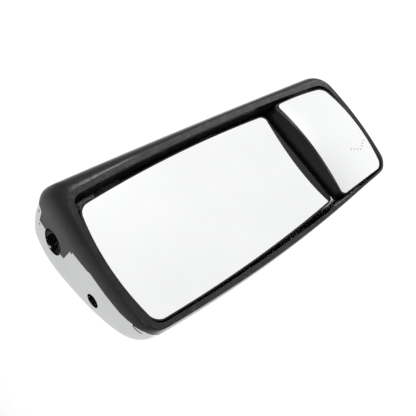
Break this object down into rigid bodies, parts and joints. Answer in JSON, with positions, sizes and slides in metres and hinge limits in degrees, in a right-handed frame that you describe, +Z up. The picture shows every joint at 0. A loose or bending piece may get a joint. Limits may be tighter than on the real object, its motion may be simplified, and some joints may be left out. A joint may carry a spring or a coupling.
{
  "type": "towing mirror head",
  "caption": "Tall truck and trailer towing mirror head: flat main glass over a convex glass in one black bezel, plated rear cover, clamps inside for a vertical arm tube.",
  "frame": {"origin": "on the arm tube's axis, at the middle of the upper clamp", "axes": "+Z up along the arm tube, -Y the way the glasses face, +X inboard towards the cab"},
  "size_m": [0.2674, 0.157, 0.5321],
  "materials": {
    "bezel_plastic": "fine-grained black moulded plastic with a satin sheen",
    "chrome_cover": "bright plated plastic",
    "cast_frame": "as-cast aluminium",
    "zinc_steel": "zinc-plated steel",
    "spring_steel": "blued spring steel",
    "actuator_plastic": "glass-filled black plastic",
    "motor_can": "drawn steel can",
    "acetal": "natural white acetal",
    "mirror_glass": "silvered glass",
    "heater_film": "printed heating film",
    "holder_plastic": "black moulded plastic",
    "circuit_board": "solder-masked board",
    "amber_led": "amber lamp body",
    "harness_jacket": "taped harness",
    "connector_plastic": "moulded connector"
  },
  "bodies": {
    "housing": {"front_bezel": "bezel_plastic", "rear_cover": "chrome_cover", "mounting_frame": "cast_frame", "upper_clamp_cap": "cast_frame", "lower_clamp_cap": "cast_frame", "clamp_bolts": "zinc_steel", "clamp_washers": "zinc_steel", "frame_screws": "zinc_steel", "bracket_screws": "zinc_steel", "actuator_screws": "zinc_steel", "cover_clips": "spring_steel", "actuator_base": "actuator_plastic", "actuator_lid": "actuator_plastic", "vertical_gearmotor": "motor_can", "horizontal_gearmotor": "motor_can", "convex_bracket": "actuator_plastic", "harness": "harness_jacket", "main_connector": "connector_plastic", "terminal_block": "connector_plastic", "harness_clips": "connector_plastic"},
    "main_gimbal": {"main_cross": "acetal"},
    "main_carrier": {"main_holder": "holder_plastic", "main_heater": "heater_film", "main_glass": "mirror_glass"},
    "vertical_plunger_rod": {"vertical_plunger": "acetal"},
    "horizontal_plunger_rod": {"horizontal_plunger": "acetal"},
    "vertical_screw": {"vertical_leadscrew": "zinc_steel"},
    "horizontal_screw": {"horizontal_leadscrew": "zinc_steel"},
    "convex_gimbal": {"convex_cross": "acetal"},
    "convex_carrier": {"convex_holder": "holder_plastic", "convex_heater": "heater_film", "convex_glass": "mirror_glass", "signal_board": "circuit_board", "signal_leds": "amber_led"}
  },
  "joints": [
    {"name": "main_vertical_tilt", "type": "hinge", "parent": "housing", "child": "main_gimbal", "pos_m": [-0.083, -0.045, -0.095], "axis": [1, 0, 0], "range_deg": [-6, 6]},
    {"name": "main_horizontal_tilt", "type": "hinge", "parent": "main_gimbal", "child": "main_carrier", "pos_m": [-0.083, -0.045, -0.095], "axis": [0, 0, 1], "range_deg": [-6, 6]},
    {"name": "vertical_plunger_slide", "type": "slide", "parent": "housing", "child": "vertical_plunger_rod", "axis": [0, 1, 0], "range_m": [-0.00406, 0.00406]},
    {"name": "horizontal_plunger_slide", "type": "slide", "parent": "housing", "child": "horizontal_plunger_rod", "axis": [0, 1, 0], "range_m": [-0.00406, 0.00406]},
    {"name": "vertical_screw_spin", "type": "hinge", "parent": "housing", "child": "vertical_screw", "pos_m": [-0.083, -0.031, -0.057], "axis": [0, 1, 0], "range_deg": [-974.1, 974.1]},
    {"name": "horizontal_screw_spin", "type": "hinge", "parent": "housing", "child": "horizontal_screw", "pos_m": [-0.045, -0.031, -0.095], "axis": [0, 1, 0], "range_deg": [-974.1, 974.1]},
    {"name": "convex_vertical_tilt", "type": "hinge", "parent": "housing", "child": "convex_gimbal", "pos_m": [-0.075, -0.061, -0.342], "axis": [1, 0, 0], "range_deg": [-3, 3]},
    {"name": "convex_horizontal_tilt", "type": "hinge", "parent": "convex_gimbal", "child": "convex_carrier", "pos_m": [-0.075, -0.061, -0.342], "axis": [0, 0, 1], "range_deg": [-3, 3]}
  ],
  "couplings": [
    {"joint": "vertical_plunger_slide", "follows": "main_vertical_tilt", "m_per_rad": -0.038},
    {"joint": "horizontal_plunger_slide", "follows": "main_horizontal_tilt", "m_per_rad": 0.038},
    {"joint": "vertical_screw_spin", "follows": "main_vertical_tilt", "ratio": -159.17},
    {"joint": "horizontal_screw_spin", "follows": "main_horizontal_tilt", "ratio": 159.17}
  ]
}
